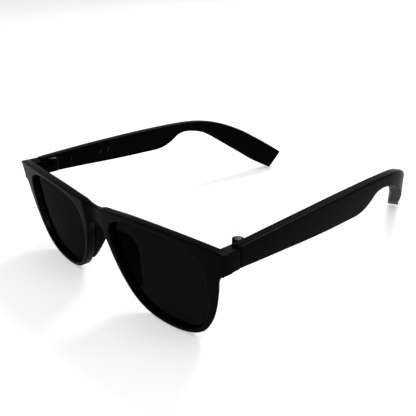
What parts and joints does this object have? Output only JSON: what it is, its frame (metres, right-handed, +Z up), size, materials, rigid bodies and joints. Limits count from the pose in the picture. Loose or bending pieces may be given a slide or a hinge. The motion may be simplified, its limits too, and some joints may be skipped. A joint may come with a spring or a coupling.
{
  "type": "audio smart glasses",
  "caption": "Dark wrap-around glasses with hinged temples that hold batteries, speakers, microphones and touch pads for open-ear listening.",
  "frame": {"origin": "centre of the bounding box at the height of the surface the glasses stand on, temples open", "axes": "+X to the wearer's left, +Y from the lenses back to the ear hooks, +Z up, standing on the rims and the ends of the hooks"},
  "size_m": [0.146, 0.17, 0.0465],
  "materials": {
    "frame": "satin black nylon",
    "lens": "polished dark grey tint",
    "pad": "soft matte black silicone",
    "brass": "dull brass",
    "gold": "gold plated",
    "cell": "foil",
    "board": "solder mask",
    "chip": "moulded",
    "foil": "copper foil",
    "mesh": "blackened woven wire",
    "driver": "pressed can",
    "light": "clear"
  },
  "bodies": {
    "front": {"front_frame": "frame", "hinge_insert_left": "brass", "hinge_insert_right": "brass", "hinge_screw_left": "brass", "hinge_screw_right": "brass", "lens_left": "lens", "lens_right": "lens", "nose_pad_left": "pad", "nose_pad_right": "pad"},
    "left_temple": {"battery_left": "cell", "charge_pin_front_left": "gold", "charge_pin_rear_left": "gold", "circuit_board_left": "board", "microphone_left": "cell", "radio_chip_left": "chip", "speaker_left": "driver", "speaker_mesh_left": "mesh", "temple_cover_left": "frame", "temple_shell_left": "frame", "touch_pad_left": "foil"},
    "right_temple": {"battery_right": "cell", "button_switch_right": "cell", "charge_pin_front_right": "gold", "charge_pin_rear_right": "gold", "circuit_board_right": "board", "microphone_right": "cell", "radio_chip_right": "chip", "speaker_mesh_right": "mesh", "speaker_right": "driver", "status_light_right": "light", "temple_cover_right": "frame", "temple_shell_right": "frame", "touch_pad_right": "foil"},
    "button": {"power_button_right": "frame"}
  },
  "joints": [
    {"name": "left_temple_fold", "type": "hinge", "parent": "front", "child": "left_temple", "pos_m": [0.066, -0.06461, 0.04031], "axis": [0, 0.0767, 0.9971], "range_deg": [0, 86]},
    {"name": "right_temple_fold", "type": "hinge", "parent": "front", "child": "right_temple", "pos_m": [-0.066, -0.06461, 0.04031], "axis": [0, -0.0767, -0.9971], "range_deg": [0, 70]},
    {"name": "power_button_press", "type": "slide", "parent": "right_temple", "child": "button", "axis": [0, 0.0767, 0.9971], "range_m": [0, 0.0005], "stiffness_N_per_m": 600, "springref_m": -0.0005}
  ]
}
